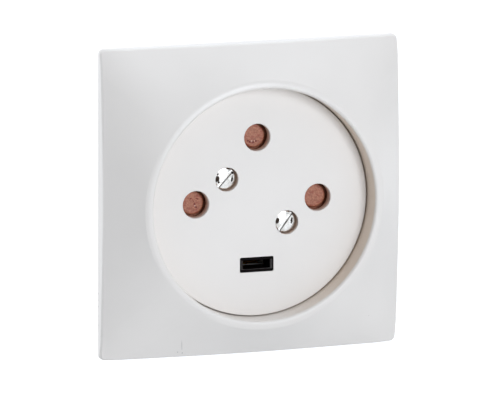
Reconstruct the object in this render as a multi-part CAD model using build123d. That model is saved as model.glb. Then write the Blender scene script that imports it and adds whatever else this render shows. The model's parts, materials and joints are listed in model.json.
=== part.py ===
from build123d import *
import os
from math import cos, radians, sin

# Three-phase power socket for a wall box, in millimetres.
# Heights are measured from the wall plane towards the user, and the socket's axis is x = 0, y = 0.
# Each piece is drawn looking at the socket's face and is stood upright when it is written.

# Wall box fixings and the plates that cover them
fixing_pitch = 60.0
fixing_head_radius = 3.4
fixing_head_gap = 0.8
plate_margin = 10.0
frame_inset = 4.5

# Pin pattern
pin_circle_radius = 16.4
pin_hole_radius = 3.5
pin_hole_chamfer = 0.15
earth_slot_length = 9.1
earth_slot_width = 3.9
earth_slot_corner = 0.4
phase_places = {"right": 0.0, "top": 90.0, "left": 180.0}
earth_angle = 270.0

# Cover plate
plate_corner_radius = 1.3
plate_skirt_wall = 2.0
plate_edge_chamfer = 0.4
slope_overhang = 3.4
slope_corner_radius = 6.0
slope_side_angle = 76.0
slope_wall_drop = 2.8
recess_depth = 6.1
lip_rise = 0.5
lip_inner_round = 0.6
collar_wall = 1.8
collar_shoulder = 0.4
ledge_thickness = 1.6
ledge_width = 3.0
plate_rib_thickness = 1.2
edge_search_gap = 0.01

# How far a cut runs on beyond the face that it opens
cut_overrun = 1.0

# Centre cover
cover_thickness = 2.5
cover_edge_round = 0.8
cover_gap = 0.3
cover_boss_wall = 0.8
cover_boss_depth = 1.6
cover_spigot_gap = 0.2
cover_spigot_wall = 1.1
cover_spigot_depth = 0.7
cover_lug_width = 3.6
cover_lug_depth = 1.0
cover_lug_angle = 45.0
cover_lug_overlap = 1.0

# Cover screws and the inserts that they turn into
screw_offset_x = 8.1
screw_offset_y = 6.0
screw_radius = 1.45
screw_clearance = 0.05
screw_reach = 11.0
head_radius = 2.8
head_thickness = 1.75
head_edge_round = 0.45
head_recess = 1.25
head_gap = 0.3
head_slot_width = 0.85
head_slot_depth = 0.9
screw_slot_angles = {"upper": 46.6, "lower": 53.4}
insert_wall = 0.6
insert_length = 8.4
insert_setback = 0.2
insert_groove_depth = 0.2
insert_groove_width = 1.2
screw_post_wall = 0.65

# Black shroud round the earth slot
shroud_gap = 0.05
shroud_wall = 0.8
shroud_setback = 0.1
shroud_flange_width = 0.8
shroud_flange_thickness = 0.8

# Shutter that closes the three pin holes
shutter_front_gap = 0.5
shutter_floor_gap = 0.3
shutter_side_gap = 3.9
shutter_depth = 2.2
shutter_arm_depth = 0.9
shutter_arm_width = 2.6
shutter_lobe_overlap = 0.7
shutter_hub_margin = 1.2
shutter_ramp_start = 3.0
pivot_radius = 2.8
pivot_clearance = 0.15
pivot_stub_radius = 1.5
pivot_stub_height = 0.8
retainer_overlap = 1.4
retainer_thickness = 0.4
retainer_lift = 0.1

# Return spring of the shutter
spring_wire_radius = 0.25
spring_pivot_gap = 1.35
spring_pocket_gap = 1.35
spring_turns = 5
spring_pitch = 0.62
spring_leg_angle = 225.0
spring_pocket_depth = 4.7
spring_leg_clearance = 0.2
spring_leg_engagement = 0.6

# Socket base
base_rim_wall = 1.9
base_rim_gap = 0.5
base_body_step = 1.4
base_depth = 14.0
base_flange_width = 6.2
base_flange_thickness = 1.4
base_floor_thickness = 1.4
base_lug_gap = 0.2
base_waist_depth = 0.8
base_waist_start = 3.0
base_waist_end = 11.0
base_rib_width = 3.0
base_rib_count = 12

# Phase contacts
sleeve_outer_radius = 4.0
sleeve_bore_radius = 3.05
sleeve_front_gap = 0.3
sleeve_bore_floor = 2.0
sleeve_slit_width = 0.6
sleeve_slit_length = 9.0
sleeve_chamber_gap = 0.7
grip_ring_thickness = 0.35
grip_ring_width = 4.0
grip_ring_setback = 2.0
grip_ring_fit = 0.05
grip_ring_opening = 1.6

# Terminal blocks
block_width = 9.0
block_length = 10.0
block_depth = 10.0
block_gap = 0.2
wire_hole_radius = 2.1
wire_hole_depth = 8.0
terminal_screw_radius = 1.9
terminal_head_radius = 3.0
terminal_head_thickness = 1.6
terminal_head_edge = 0.4
terminal_head_lift = 0.4
terminal_window_gap = 0.5
terminal_slot_width = 1.0
terminal_slot_depth = 0.8

# Earth contact
clip_strip_thickness = 0.8
clip_width = 6.4
clip_throat = 1.5
clip_mouth = 3.0
clip_flare_depth = 2.4
clip_front_gap = 0.3
clip_side_gap = 1.0

# Rear housing
housing_step = 0.8
housing_depth = 14.0
housing_flange_thickness = 3.0
housing_tower_wall = 2.2
housing_tower_corner = 1.5
housing_edge_round = 1.0
housing_wire_funnel = 0.8
housing_wire_gap = 0.4
housing_core_radius = 4.0
housing_core_depth = 8.0
rear_screw_inset = 5.2
rear_screw_angles = {"upper": 45.0, "lower": 225.0}
rear_screw_reach = 8.0
rear_pad_depth = 3.5
rear_pad_wall = 1.6

# Support frame and its rivets
frame_corner_radius = 7.0
frame_thickness = 1.2
frame_opening_gap = 0.3
frame_lip_length = 40.0
frame_lip_height = 3.0
fixing_slot_width = 4.2
fixing_slot_length = 6.2
bead_length = 13.0
bead_width = 2.6
bead_depth = 0.6
bead_inset = 3.9
bead_place = 22.0
rivet_inset = 2.7
rivet_angles = (45.0, 135.0, 225.0, 315.0)
rivet_radius = 1.1
rivet_clearance = 0.1
rivet_head_radius = 1.9
rivet_head_thickness = 0.8
rivet_head_edge = 0.35
rivet_front_gap = 0.2

# Sizes in the plane of the wall that follow from the ones above
plate_side = fixing_pitch + 2 * plate_margin
plate_inside = plate_side / 2 - plate_skirt_wall
frame_side = plate_side - 2 * frame_inset
shutter_lobe_radius = pin_hole_radius + shutter_lobe_overlap
base_cavity_radius = pin_circle_radius + shutter_lobe_radius + shutter_side_gap
base_rim_radius = base_cavity_radius + base_rim_wall
base_body_radius = base_rim_radius - base_body_step
base_flange_radius = base_rim_radius + base_flange_width
base_notch_radius = fixing_pitch / 2 - fixing_head_radius
base_notch_width = 2 * (fixing_head_radius + fixing_head_gap)
ledge_radius = base_rim_radius + base_rim_gap
collar_bore = ledge_radius + ledge_width
collar_outside = collar_bore + collar_wall
collar_radius = collar_outside + collar_shoulder
cover_radius = collar_bore - cover_gap
counterbore_radius = head_radius + head_gap
cover_boss_radius = counterbore_radius + cover_boss_wall
insert_bore = screw_radius + screw_clearance
insert_radius = insert_bore + insert_wall
screw_post_radius = insert_radius + screw_clearance + screw_post_wall
spring_radius = pivot_radius + spring_pivot_gap + spring_wire_radius
spring_pocket_radius = spring_radius + spring_wire_radius + spring_pocket_gap
spring_hole_radius = spring_wire_radius + spring_leg_clearance
shutter_hub_radius = spring_radius + shutter_hub_margin
retainer_radius = pivot_radius + retainer_overlap
sleeve_chamber_radius = sleeve_outer_radius + sleeve_chamber_gap
shroud_length = earth_slot_length - 2 * shroud_gap
shroud_width = earth_slot_width - 2 * shroud_gap
housing_radius = base_body_radius - housing_step
rear_screw_circle_radius = housing_radius - rear_screw_inset
rivet_circle_radius = base_flange_radius - rivet_inset

# Heights that follow, from the support frame forwards and backwards
flange_front = frame_thickness + base_flange_thickness
ledge_back = flange_front + rivet_head_thickness + rivet_front_gap
cover_back = ledge_back + ledge_thickness
cover_face_height = cover_back + cover_thickness
collar_height = cover_face_height + recess_depth
lip_height = collar_height + lip_rise
boss_back = cover_back - cover_boss_depth
head_seat = cover_face_height - head_recess - head_thickness
insert_front = boss_back - insert_setback
insert_back = insert_front - insert_length
shutter_front = cover_back - shutter_front_gap
shutter_back = shutter_front - shutter_depth
shutter_arm_front = shutter_back + shutter_arm_depth
base_floor = shutter_back - shutter_floor_gap
spring_pocket_floor = base_floor - spring_pocket_depth
pivot_shoulder = shutter_arm_front + retainer_lift
chamber_front = base_floor - base_floor_thickness
sleeve_front = chamber_front - sleeve_front_gap
block_back = -base_depth - block_depth
earth_block_front = -base_depth - clip_strip_thickness
housing_back = -base_depth - housing_depth
rear_seat = -base_depth - housing_flange_thickness - rear_pad_depth + head_thickness
terminal_screw_height = -base_depth - block_depth / 2

# Places round the socket's axis
screw_places = {"upper": (-screw_offset_x, screw_offset_y), "lower": (screw_offset_x, -screw_offset_y)}
all_contact_angles = list(phase_places.values()) + [earth_angle]
lug_angles = (cover_lug_angle, cover_lug_angle + 180.0)
side_angles = (0.0, 90.0, 180.0, 270.0)


def post(radius, bottom, top, x=0.0, y=0.0):
    # Round bar between two heights
    return Pos(x, y, bottom) * Cylinder(radius, top - bottom, align=(Align.CENTER, Align.CENTER, Align.MIN))


def block(length, width, bottom, top, x=0.0, y=0.0):
    # Square bar between two heights
    return Pos(x, y, bottom) * Box(length, width, top - bottom, align=(Align.CENTER, Align.CENTER, Align.MIN))


def rounded_block(length, width, corner, bottom, top, x=0.0, y=0.0):
    # Bar with rounded corners between two heights
    outline = Pos(x, y, bottom) * RectangleRounded(length, width, corner)
    return extrude(outline, top - bottom, dir=(0, 0, 1))


def turned(edges):
    # Solid turned about the socket's axis from a profile of radius and height
    return revolve(Plane.XZ * make_face(edges), Axis.Z)


def on_circle(radius, angle):
    # Place at a radius and an angle about the socket's axis
    return radius * cos(radians(angle)), radius * sin(radians(angle))


def sloped_form():
    # Straight-line surface from a wide rounded square at the wall up to the collar's circle
    half = plate_side / 2 + slope_overhang
    straight = half - slope_corner_radius
    quarter_turn = side_angles[1]
    corner_angle = quarter_turn - slope_side_angle
    foot = []
    rim = []
    for side_angle in side_angles:
        turn = Rot(0, 0, side_angle)
        start = side_angle - slope_side_angle / 2
        foot.append(turn * Line((half, -straight), (half, straight)))
        foot.append(turn * CenterArc((straight, straight), slope_corner_radius, 0.0, quarter_turn))
        rim.append(CenterArc((0, 0, collar_height), collar_radius, start, slope_side_angle))
        rim.append(CenterArc((0, 0, collar_height), collar_radius, start + slope_side_angle, corner_angle))
    return Solid.make_loft([Wire(foot), Wire(rim)], ruled=True)


def plate_outside(form):
    # The sloped form cut to the plate's square, with the crown of the collar on top
    square = rounded_block(plate_side, plate_side, plate_corner_radius, 0.0, lip_height)
    crest = (collar_bore + lip_inner_round, lip_height)
    shoulder = (collar_radius, collar_height)
    crown = turned([
        Line((0, ledge_back), (collar_radius, ledge_back)),
        Line((collar_radius, ledge_back), shoulder),
        TangentArc(crest, shoulder, tangent=(1, 0)),
        Line(crest, (0, lip_height)),
        Line((0, lip_height), (0, ledge_back)),
    ])
    body = form & square
    front_edges = []
    for edge in body.edges():
        reach = edge.bounding_box()
        if reach.min.Z > edge_search_gap and reach.max.Z < collar_height - edge_search_gap:
            front_edges.append(edge)
    return chamfer(front_edges, plate_edge_chamfer) + crown


def collar_opening():
    # Room for the centre cover inside the collar, with the lip's inner rounding
    wall_top = (collar_bore, lip_height - lip_inner_round)
    crest = (collar_bore + lip_inner_round, lip_height)
    above = lip_height + cut_overrun
    return turned([
        Line((0, cover_back), (collar_bore, cover_back)),
        Line((collar_bore, cover_back), wall_top),
        TangentArc(wall_top, crest, tangent=(0, 1)),
        Line(crest, (crest[0], above)),
        Line((crest[0], above), (0, above)),
        Line((0, above), (0, cover_back)),
    ])


def cover_plate():
    form = sloped_form()
    outside = plate_outside(form)
    inside_corner = max(plate_corner_radius - plate_skirt_wall, 0.4)
    room = rounded_block(2 * plate_inside, 2 * plate_inside, inside_corner, -cut_overrun, collar_height)
    hollow = (Pos(0, 0, -slope_wall_drop) * form) & room
    hollow -= post(collar_outside, -slope_wall_drop, collar_height)
    plate = outside - hollow
    rib_reach = 2 * plate_side
    spokes = block(rib_reach, plate_rib_thickness, ledge_back, collar_height)
    ribs = spokes + Rot(0, 0, 45) * spokes + Rot(0, 0, 90) * spokes + Rot(0, 0, 135) * spokes
    ribs -= post(collar_outside - collar_wall / 2, 0.0, lip_height)
    plate += ribs & outside & room
    plate -= collar_opening()
    plate -= post(collar_outside, -cut_overrun, ledge_back)
    plate -= post(ledge_radius, 0.0, cover_face_height)
    return plate


def centre_cover():
    cover = post(cover_radius, cover_back, cover_face_height)
    cover = fillet(cover.edges().group_by(Axis.Z)[-1], cover_edge_round)
    spigot_radius = base_cavity_radius - cover_spigot_gap
    cover += post(spigot_radius, cover_back - cover_spigot_depth, cover_back)
    cover -= post(spigot_radius - cover_spigot_wall, cover_back - cover_spigot_depth, cover_back)
    for angle in lug_angles:
        lug_length = base_rim_wall + cover_lug_overlap
        place = base_rim_radius - lug_length / 2
        lug = block(lug_length, cover_lug_width, cover_back - cover_lug_depth, cover_back, place, 0)
        cover += Rot(0, 0, angle) * lug
    for x, y in screw_places.values():
        cover += post(cover_boss_radius, boss_back, cover_back, x, y)
        cover -= post(counterbore_radius, head_seat, cover_face_height, x, y)
        cover -= post(screw_radius + head_gap, boss_back, head_seat, x, y)
    for angle in phase_places.values():
        x, y = on_circle(pin_circle_radius, angle)
        cover -= post(pin_hole_radius, cover_back, cover_face_height, x, y)
        mouth = Pos(x, y, cover_face_height - pin_hole_chamfer / 2)
        cover -= mouth * Cone(pin_hole_radius, pin_hole_radius + pin_hole_chamfer, pin_hole_chamfer)
    x, y = on_circle(pin_circle_radius, earth_angle)
    cover -= rounded_block(
        earth_slot_length, earth_slot_width, earth_slot_corner, cover_back, cover_face_height, x, y
    )
    return cover


def cover_screw(name):
    # Slotted cheese-head machine screw
    x, y = screw_places[name]
    head = post(head_radius, head_seat, head_seat + head_thickness)
    head = fillet(head.edges().group_by(Axis.Z)[-1], head_edge_round)
    slot_floor = head_seat + head_thickness - head_slot_depth
    slot = block(3 * head_radius, head_slot_width, slot_floor, head_seat + head_thickness)
    screw = head - Rot(0, 0, screw_slot_angles[name]) * slot
    screw += post(screw_radius, head_seat - screw_reach, head_seat)
    tip = screw.edges().group_by(Axis.Z)[0]
    return Pos(x, y, 0) * chamfer(tip, screw_radius / 4)


def thread_insert(name):
    # Brass bush moulded into the base's post, with a groove that keys it
    x, y = screw_places[name]
    middle = (insert_front + insert_back) / 2
    groove = post(insert_radius, middle - insert_groove_width / 2, middle + insert_groove_width / 2)
    groove -= post(insert_radius - insert_groove_depth, insert_back, insert_front)
    insert = post(insert_radius, insert_back, insert_front) - groove
    return Pos(x, y, 0) * (insert - post(insert_bore, insert_back, insert_front))


def earth_shroud():
    x, y = on_circle(pin_circle_radius, earth_angle)
    flange = 2 * shroud_flange_width
    flange_back = cover_back - shroud_flange_thickness
    hollow = 2 * shroud_wall
    front = cover_face_height - shroud_setback
    shroud = rounded_block(shroud_length, shroud_width, earth_slot_corner, base_floor, front, x, y)
    shroud += block(shroud_length + flange, shroud_width + flange, flange_back, cover_back, x, y)
    return shroud - block(shroud_length - hollow, shroud_width - hollow, base_floor, front, x, y)


def shutter():
    # Three round lobes on low arms, each with a ramp on the side that a pin slides down
    body = post(shutter_hub_radius, shutter_back, shutter_arm_front)
    ramp_size = 2 * shutter_depth
    ramp_side = (Align.CENTER, Align.MAX, Align.MIN)
    for angle in phase_places.values():
        lobe = post(shutter_lobe_radius, shutter_back, shutter_front)
        ramp = Pos(0, -shutter_ramp_start, shutter_front) * Rot(45, 0, 0)
        cutter = Box(4 * shutter_lobe_radius, ramp_size, ramp_size, align=ramp_side)
        middle = pin_circle_radius / 2
        arm = block(pin_circle_radius, shutter_arm_width, shutter_back, shutter_arm_front, middle)
        body += Rot(0, 0, angle) * (arm + Pos(pin_circle_radius, 0, 0) * (lobe - ramp * cutter))
    body -= post(pivot_radius + pivot_clearance, shutter_back, shutter_front)
    x, y = on_circle(spring_radius, spring_leg_angle)
    return body - post(spring_hole_radius, shutter_back, shutter_arm_front, x, y)


def shutter_spring():
    # Torsion spring with one leg in the shutter's hub and the other in the base
    coil_height = spring_turns * spring_pitch
    coil_bottom = spring_pocket_floor + spring_leg_engagement + spring_wire_radius
    coil_top = coil_bottom + coil_height
    path = Helix(spring_pitch, coil_height, spring_radius)
    profile = Plane(origin=path @ 0, z_dir=path % 0) * Circle(spring_wire_radius)
    coil = Pos(0, 0, coil_bottom) * sweep(profile, path, is_frenet=True)
    leg_floor = spring_pocket_floor - spring_leg_engagement
    lower = post(spring_wire_radius, leg_floor, coil_bottom + spring_wire_radius)
    upper = post(spring_wire_radius, coil_top - spring_wire_radius, shutter_back + spring_leg_engagement)
    legs = Pos(spring_radius, 0, 0) * (lower + upper)
    return Rot(0, 0, spring_leg_angle) * (coil + legs)


def shutter_retainer():
    # Push-on washer with a pierced centre
    washer = post(retainer_radius, pivot_shoulder, pivot_shoulder + retainer_thickness)
    return washer - post(pivot_stub_radius, pivot_shoulder, pivot_shoulder + retainer_thickness)


def base_block():
    # Round block with a waist between upright ribs, behind a flange notched for the box screws
    base = post(base_body_radius, -base_depth, flange_front)
    waist = post(base_body_radius, -base_waist_end, -base_waist_start)
    waist -= post(base_body_radius - base_waist_depth, -base_waist_end, -base_waist_start)
    for number in range(base_rib_count):
        rib = block(4 * base_waist_depth, base_rib_width, -base_waist_end, -base_waist_start)
        rib = Pos(base_body_radius, 0, 0) * rib
        waist -= Rot(0, 0, (number + 0.5) * 360.0 / base_rib_count) * rib
    flange = post(base_flange_radius, frame_thickness, flange_front)
    notch_reach = base_flange_radius - base_notch_radius + cut_overrun
    notch_place = base_notch_radius + notch_reach / 2
    for angle in side_angles:
        notch = block(notch_reach, base_notch_width, frame_thickness, flange_front, notch_place, 0)
        flange -= Rot(0, 0, angle) * notch
    for angle in rivet_angles:
        x, y = on_circle(rivet_circle_radius, angle)
        flange -= post(rivet_radius + rivet_clearance, frame_thickness, flange_front, x, y)
    return base - waist + flange + post(base_rim_radius, frame_thickness, cover_back)


def shutter_room(base):
    # Cavity in front of the block, with keyways, screw posts, spring pocket and pivot
    base -= post(base_cavity_radius, base_floor, cover_back)
    keyway_length = 2 * (base_rim_wall + cut_overrun)
    keyway_width = cover_lug_width + 2 * base_lug_gap
    keyway_floor = cover_back - cover_lug_depth - base_lug_gap
    for angle in lug_angles:
        keyway = block(keyway_length, keyway_width, keyway_floor, cover_back, base_rim_radius, 0)
        base -= Rot(0, 0, angle) * keyway
    for x, y in screw_places.values():
        base += post(screw_post_radius, base_floor, boss_back, x, y)
        base -= post(insert_radius + screw_clearance, insert_back, boss_back, x, y)
        base -= post(screw_radius + head_gap, head_seat - screw_reach - cut_overrun, boss_back, x, y)
    base -= post(spring_pocket_radius, spring_pocket_floor, base_floor)
    base += post(pivot_radius, spring_pocket_floor, pivot_shoulder)
    base += post(pivot_stub_radius, pivot_shoulder, pivot_shoulder + pivot_stub_height)
    x, y = on_circle(spring_radius, spring_leg_angle)
    leg_hole_floor = spring_pocket_floor - 2 * spring_leg_engagement
    return base - post(spring_hole_radius, leg_hole_floor, spring_pocket_floor, x, y)


def socket_base():
    base = shutter_room(base_block())
    for angle in phase_places.values():
        x, y = on_circle(pin_circle_radius, angle)
        base -= post(sleeve_chamber_radius, -base_depth, chamber_front, x, y)
        base -= post(pin_hole_radius, chamber_front, base_floor, x, y)
    x, y = on_circle(pin_circle_radius, earth_angle)
    slot_length = shroud_length - 2 * shroud_wall
    slot_width = shroud_width - 2 * shroud_wall
    chamber_width = clip_mouth + 2 * clip_strip_thickness + 2 * clip_side_gap
    base -= block(slot_length, slot_width, chamber_front, base_floor, x, y)
    base -= block(slot_length, chamber_width, -base_depth, chamber_front, x, y)
    for angle in rear_screw_angles.values():
        x, y = on_circle(rear_screw_circle_radius, angle)
        base -= post(screw_radius + screw_clearance, -base_depth, rear_screw_reach + cut_overrun - base_depth, x, y)
    return base


def phase_sleeve(angle):
    # Turned and slit sleeve with its terminal block behind
    sleeve = post(sleeve_outer_radius, -base_depth, sleeve_front)
    slit = block(
        3 * sleeve_outer_radius, sleeve_slit_width, sleeve_front - sleeve_slit_length, sleeve_front
    )
    sleeve -= slit
    sleeve += block(block_length, block_width, block_back, -base_depth)
    sleeve -= post(sleeve_bore_radius, sleeve_bore_floor - base_depth, sleeve_front)
    sleeve -= post(wire_hole_radius, block_back, block_back + wire_hole_depth)
    bore = Pos(block_length / 4, 0, terminal_screw_height) * Rot(0, 90, 0)
    sleeve -= bore * Cylinder(terminal_screw_radius + screw_clearance, block_length / 2)
    return Rot(0, 0, angle) * Pos(pin_circle_radius, 0, 0) * sleeve


def grip_ring(angle):
    # Open steel ring that closes the slit sleeve on the pin
    inner = sleeve_outer_radius + grip_ring_fit
    front = sleeve_front - grip_ring_setback
    ring = post(inner + grip_ring_thickness, front - grip_ring_width, front)
    ring -= post(inner, front - grip_ring_width, front)
    gap = block(2 * inner, grip_ring_opening, front - grip_ring_width, front, inner, 0)
    return Rot(0, 0, angle) * Pos(pin_circle_radius, 0, 0) * Rot(0, 0, 90) * (ring - gap)


def earth_clip():
    # Strip folded into two leaves with a flared mouth, on a foot held under the base
    front = chamber_front - clip_front_gap
    throat_height = front - clip_flare_depth
    inner_throat = clip_throat / 2
    inner_mouth = clip_mouth / 2
    outer_throat = inner_throat + clip_strip_thickness
    outer_mouth = inner_mouth + clip_strip_thickness
    leaf = Polyline(
        (inner_throat, -base_depth), (inner_throat, throat_height), (inner_mouth, front),
        (outer_mouth, front), (outer_throat, throat_height), (outer_throat, -base_depth), close=True,
    )
    leaf_solid = extrude(Plane.YZ * make_face(leaf.edges()), clip_width / 2, both=True)
    foot = block(block_width, block_length, earth_block_front, -base_depth)
    foot -= post(wire_hole_radius, earth_block_front, -base_depth)
    clip = leaf_solid + Rot(0, 0, 180) * leaf_solid + foot
    x, y = on_circle(pin_circle_radius, earth_angle)
    return Pos(x, y, 0) * clip


def earth_terminal():
    terminal = block(block_length, block_width, block_back, earth_block_front)
    terminal -= post(wire_hole_radius, block_back, block_back + wire_hole_depth)
    bore = Pos(block_length / 4, 0, terminal_screw_height) * Rot(0, 90, 0)
    terminal -= bore * Cylinder(terminal_screw_radius + screw_clearance, block_length / 2)
    return Rot(0, 0, earth_angle) * Pos(pin_circle_radius, 0, 0) * terminal


def terminal_screw(angle):
    # Slotted screw that enters the block from the side, just short of the wire
    start = pin_circle_radius + wire_hole_radius
    seat = pin_circle_radius + block_length / 2 + terminal_head_lift
    screw = post(terminal_screw_radius, start, seat)
    head = post(terminal_head_radius, seat, seat + terminal_head_thickness)
    head = chamfer(head.edges().group_by(Axis.Z)[-1], terminal_head_edge)
    top = seat + terminal_head_thickness
    head -= block(3 * terminal_head_radius, terminal_slot_width, top - terminal_slot_depth, top)
    return Rot(0, 0, angle) * Pos(0, 0, terminal_screw_height) * Rot(0, 90, 0) * (screw + head)


def housing_form():
    # Round flange with a tower behind it for each terminal, and a pad for each rear screw
    flange_back = -base_depth - housing_flange_thickness
    tower_width = block_width + 2 * (block_gap + housing_tower_wall)
    tower_reach = 2 * housing_radius
    cross = rounded_block(tower_reach, tower_width, housing_tower_corner, housing_back, -base_depth)
    cross += Rot(0, 0, 90) * cross
    cross = chamfer(cross.edges().group_by(Axis.Z)[0], housing_edge_round)
    barrel = post(housing_radius, housing_back, -base_depth)
    form = cross & chamfer(barrel.edges().group_by(Axis.Z)[0], housing_edge_round)
    form += post(housing_radius, flange_back, -base_depth)
    for angle in rear_screw_angles.values():
        x, y = on_circle(rear_screw_circle_radius, angle)
        form += post(counterbore_radius + rear_pad_wall, flange_back - rear_pad_depth, -base_depth, x, y)
    return form


def rear_housing():
    # Rear moulding that holds the terminal blocks, with a wire entry behind each
    housing = housing_form()
    room_back = block_back - block_gap
    room_length = block_length + 2 * block_gap
    room_width = block_width + 2 * block_gap
    entry_radius = wire_hole_radius + housing_wire_gap
    for angle in all_contact_angles:
        turn = Rot(0, 0, angle)
        room = block(room_length, room_width, room_back, -base_depth)
        entry = post(entry_radius, housing_back, room_back)
        funnel_place = Pos(0, 0, housing_back + housing_wire_funnel / 2)
        funnel = funnel_place * Cone(entry_radius + housing_wire_funnel, entry_radius, housing_wire_funnel)
        housing -= turn * Pos(pin_circle_radius, 0, 0) * (room + entry + funnel)
        window_radius = terminal_head_radius + terminal_window_gap
        window = post(window_radius, pin_circle_radius + block_length / 2, housing_radius + cut_overrun)
        housing -= turn * Pos(0, 0, terminal_screw_height) * Rot(0, 90, 0) * window
    housing -= post(housing_core_radius, housing_back, housing_back + housing_core_depth)
    for angle in rear_screw_angles.values():
        x, y = on_circle(rear_screw_circle_radius, angle)
        housing -= post(counterbore_radius, rear_seat - head_thickness, rear_seat, x, y)
        housing -= post(screw_radius + head_gap, rear_seat, -base_depth, x, y)
    return housing


def rear_screw(name):
    x, y = on_circle(rear_screw_circle_radius, rear_screw_angles[name])
    head_back = rear_seat - head_thickness
    head = post(head_radius, head_back, rear_seat)
    head = chamfer(head.edges().group_by(Axis.Z)[0], head_edge_round)
    head -= block(3 * head_radius, head_slot_width, head_back, head_back + head_slot_depth)
    return Pos(x, y, 0) * (head + post(screw_radius, rear_seat, rear_screw_reach - base_depth))


def support_frame():
    # Pressed steel plate with a fixing slot on each side and two folded edges
    frame = rounded_block(frame_side, frame_side, frame_corner_radius, 0.0, frame_thickness)
    for edge in (-1, 1):
        place = edge * (frame_side - frame_thickness) / 2
        frame += block(frame_lip_length, frame_thickness, 0.0, frame_lip_height, 0, place)
    frame -= post(base_body_radius + frame_opening_gap, 0.0, frame_thickness)
    for angle in side_angles:
        for side in (-1, 1):
            place = Pos(frame_side / 2 - bead_inset, side * bead_place, 0) * Rot(0, 0, 90)
            ridge = extrude(place * SlotOverall(bead_length, bead_width), frame_thickness + bead_depth)
            groove = extrude(place * SlotOverall(bead_length, bead_width), bead_depth)
            frame = frame + Rot(0, 0, angle) * ridge - Rot(0, 0, angle) * groove
        slot = Pos(fixing_pitch / 2, 0, 0) * SlotOverall(fixing_slot_length, fixing_slot_width)
        frame -= Rot(0, 0, angle) * extrude(slot, frame_thickness, dir=(0, 0, 1))
    for angle in rivet_angles:
        x, y = on_circle(rivet_circle_radius, angle)
        frame -= post(rivet_radius + rivet_clearance, 0.0, frame_thickness, x, y)
    return frame


def frame_rivet(angle):
    x, y = on_circle(rivet_circle_radius, angle)
    head = post(rivet_head_radius, flange_front, flange_front + rivet_head_thickness)
    head = chamfer(head.edges().group_by(Axis.Z)[-1], rivet_head_edge)
    tail = post(rivet_head_radius, -rivet_head_thickness, 0.0)
    tail = chamfer(tail.edges().group_by(Axis.Z)[0], rivet_head_edge)
    return Pos(x, y, 0) * (head + post(rivet_radius, 0.0, flange_front) + tail)


def all_pieces():
    pieces = {
        "cover_plate": cover_plate(),
        "centre_cover": centre_cover(),
        "earth_shroud": earth_shroud(),
        "shutter": shutter(),
        "shutter_spring": shutter_spring(),
        "shutter_retainer": shutter_retainer(),
        "socket_base": socket_base(),
        "rear_housing": rear_housing(),
        "earth_clip": earth_clip(),
        "earth_terminal": earth_terminal(),
        "terminal_screw_earth": terminal_screw(earth_angle),
        "support_frame": support_frame(),
    }
    for name in screw_places:
        pieces["cover_screw_" + name] = cover_screw(name)
        pieces["thread_insert_" + name] = thread_insert(name)
        pieces["rear_screw_" + name] = rear_screw(name)
    for name, angle in phase_places.items():
        pieces["phase_sleeve_" + name] = phase_sleeve(angle)
        pieces["grip_ring_" + name] = grip_ring(angle)
        pieces["terminal_screw_" + name] = terminal_screw(angle)
    for number, angle in enumerate(rivet_angles, 1):
        pieces[f"frame_rivet_{number}"] = frame_rivet(angle)
    return pieces


os.makedirs("parts", exist_ok=True)
for node, piece in all_pieces().items():
    # The face turns to -Y, with +Z up
    export_step(Rot(90, 0, 0) * piece, f"parts/{node}.step")
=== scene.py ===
import json
import math

import bmesh
import bpy
from mathutils import Matrix, Vector


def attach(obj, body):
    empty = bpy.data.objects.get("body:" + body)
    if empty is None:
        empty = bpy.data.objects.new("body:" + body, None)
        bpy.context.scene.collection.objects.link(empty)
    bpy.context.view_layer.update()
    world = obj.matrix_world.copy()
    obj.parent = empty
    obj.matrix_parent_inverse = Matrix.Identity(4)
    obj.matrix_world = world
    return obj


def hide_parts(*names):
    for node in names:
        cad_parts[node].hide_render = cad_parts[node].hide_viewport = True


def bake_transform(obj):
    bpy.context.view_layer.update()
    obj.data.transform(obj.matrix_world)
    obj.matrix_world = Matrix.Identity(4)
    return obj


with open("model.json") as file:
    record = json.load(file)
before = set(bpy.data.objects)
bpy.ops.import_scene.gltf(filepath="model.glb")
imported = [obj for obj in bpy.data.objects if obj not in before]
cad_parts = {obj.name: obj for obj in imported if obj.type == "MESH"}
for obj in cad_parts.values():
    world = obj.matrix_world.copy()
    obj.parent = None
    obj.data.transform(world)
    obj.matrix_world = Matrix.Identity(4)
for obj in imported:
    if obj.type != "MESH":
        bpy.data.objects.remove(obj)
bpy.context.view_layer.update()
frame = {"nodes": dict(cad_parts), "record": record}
mm = 0.001
print("frame loaded")


def linearColour(hexColour):
    # sRGB hex to the linear values that the shaders use
    out = []
    for i in (1, 3, 5):
        value = int(hexColour[i:i + 2], 16) / 255
        out.append(value / 12.92 if value <= 0.04045 else ((value + 0.055) / 1.055) ** 2.4)
    return (*out, 1.0)


def addNode(tree, kind, settings=None, inputs=None, links=None, stops=()):
    # One node with its properties, its fixed inputs, what feeds them and its ramp's colours
    node = tree.nodes.new(kind)
    for name, value in (settings or {}).items():
        setattr(node, name, value)
    for name, value in (inputs or {}).items():
        node.inputs[name].default_value = value
    for name, source in (links or {}).items():
        tree.links.new(source, node.inputs[name])
    for i, (position, hexColour) in enumerate(stops):
        node.color_ramp.elements[i].position = position
        node.color_ramp.elements[i].color = linearColour(hexColour)
    return node


def newMaterial(name, surface):
    # A material with one Principled shader, its fixed values set on its own sockets
    material = bpy.data.materials.new(name)
    material.use_nodes = True
    tree = material.node_tree
    tree.nodes.clear()
    output = addNode(tree, "ShaderNodeOutputMaterial")
    shader = addNode(tree, "ShaderNodeBsdfPrincipled", inputs=surface)
    tree.links.new(shader.outputs["BSDF"], output.inputs["Surface"])
    place = addNode(tree, "ShaderNodeTexCoord").outputs["Object"]
    return material, tree, shader, place


# A spot is whole out to this share of its half size, and fades from there
spotCore = 0.6


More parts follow.
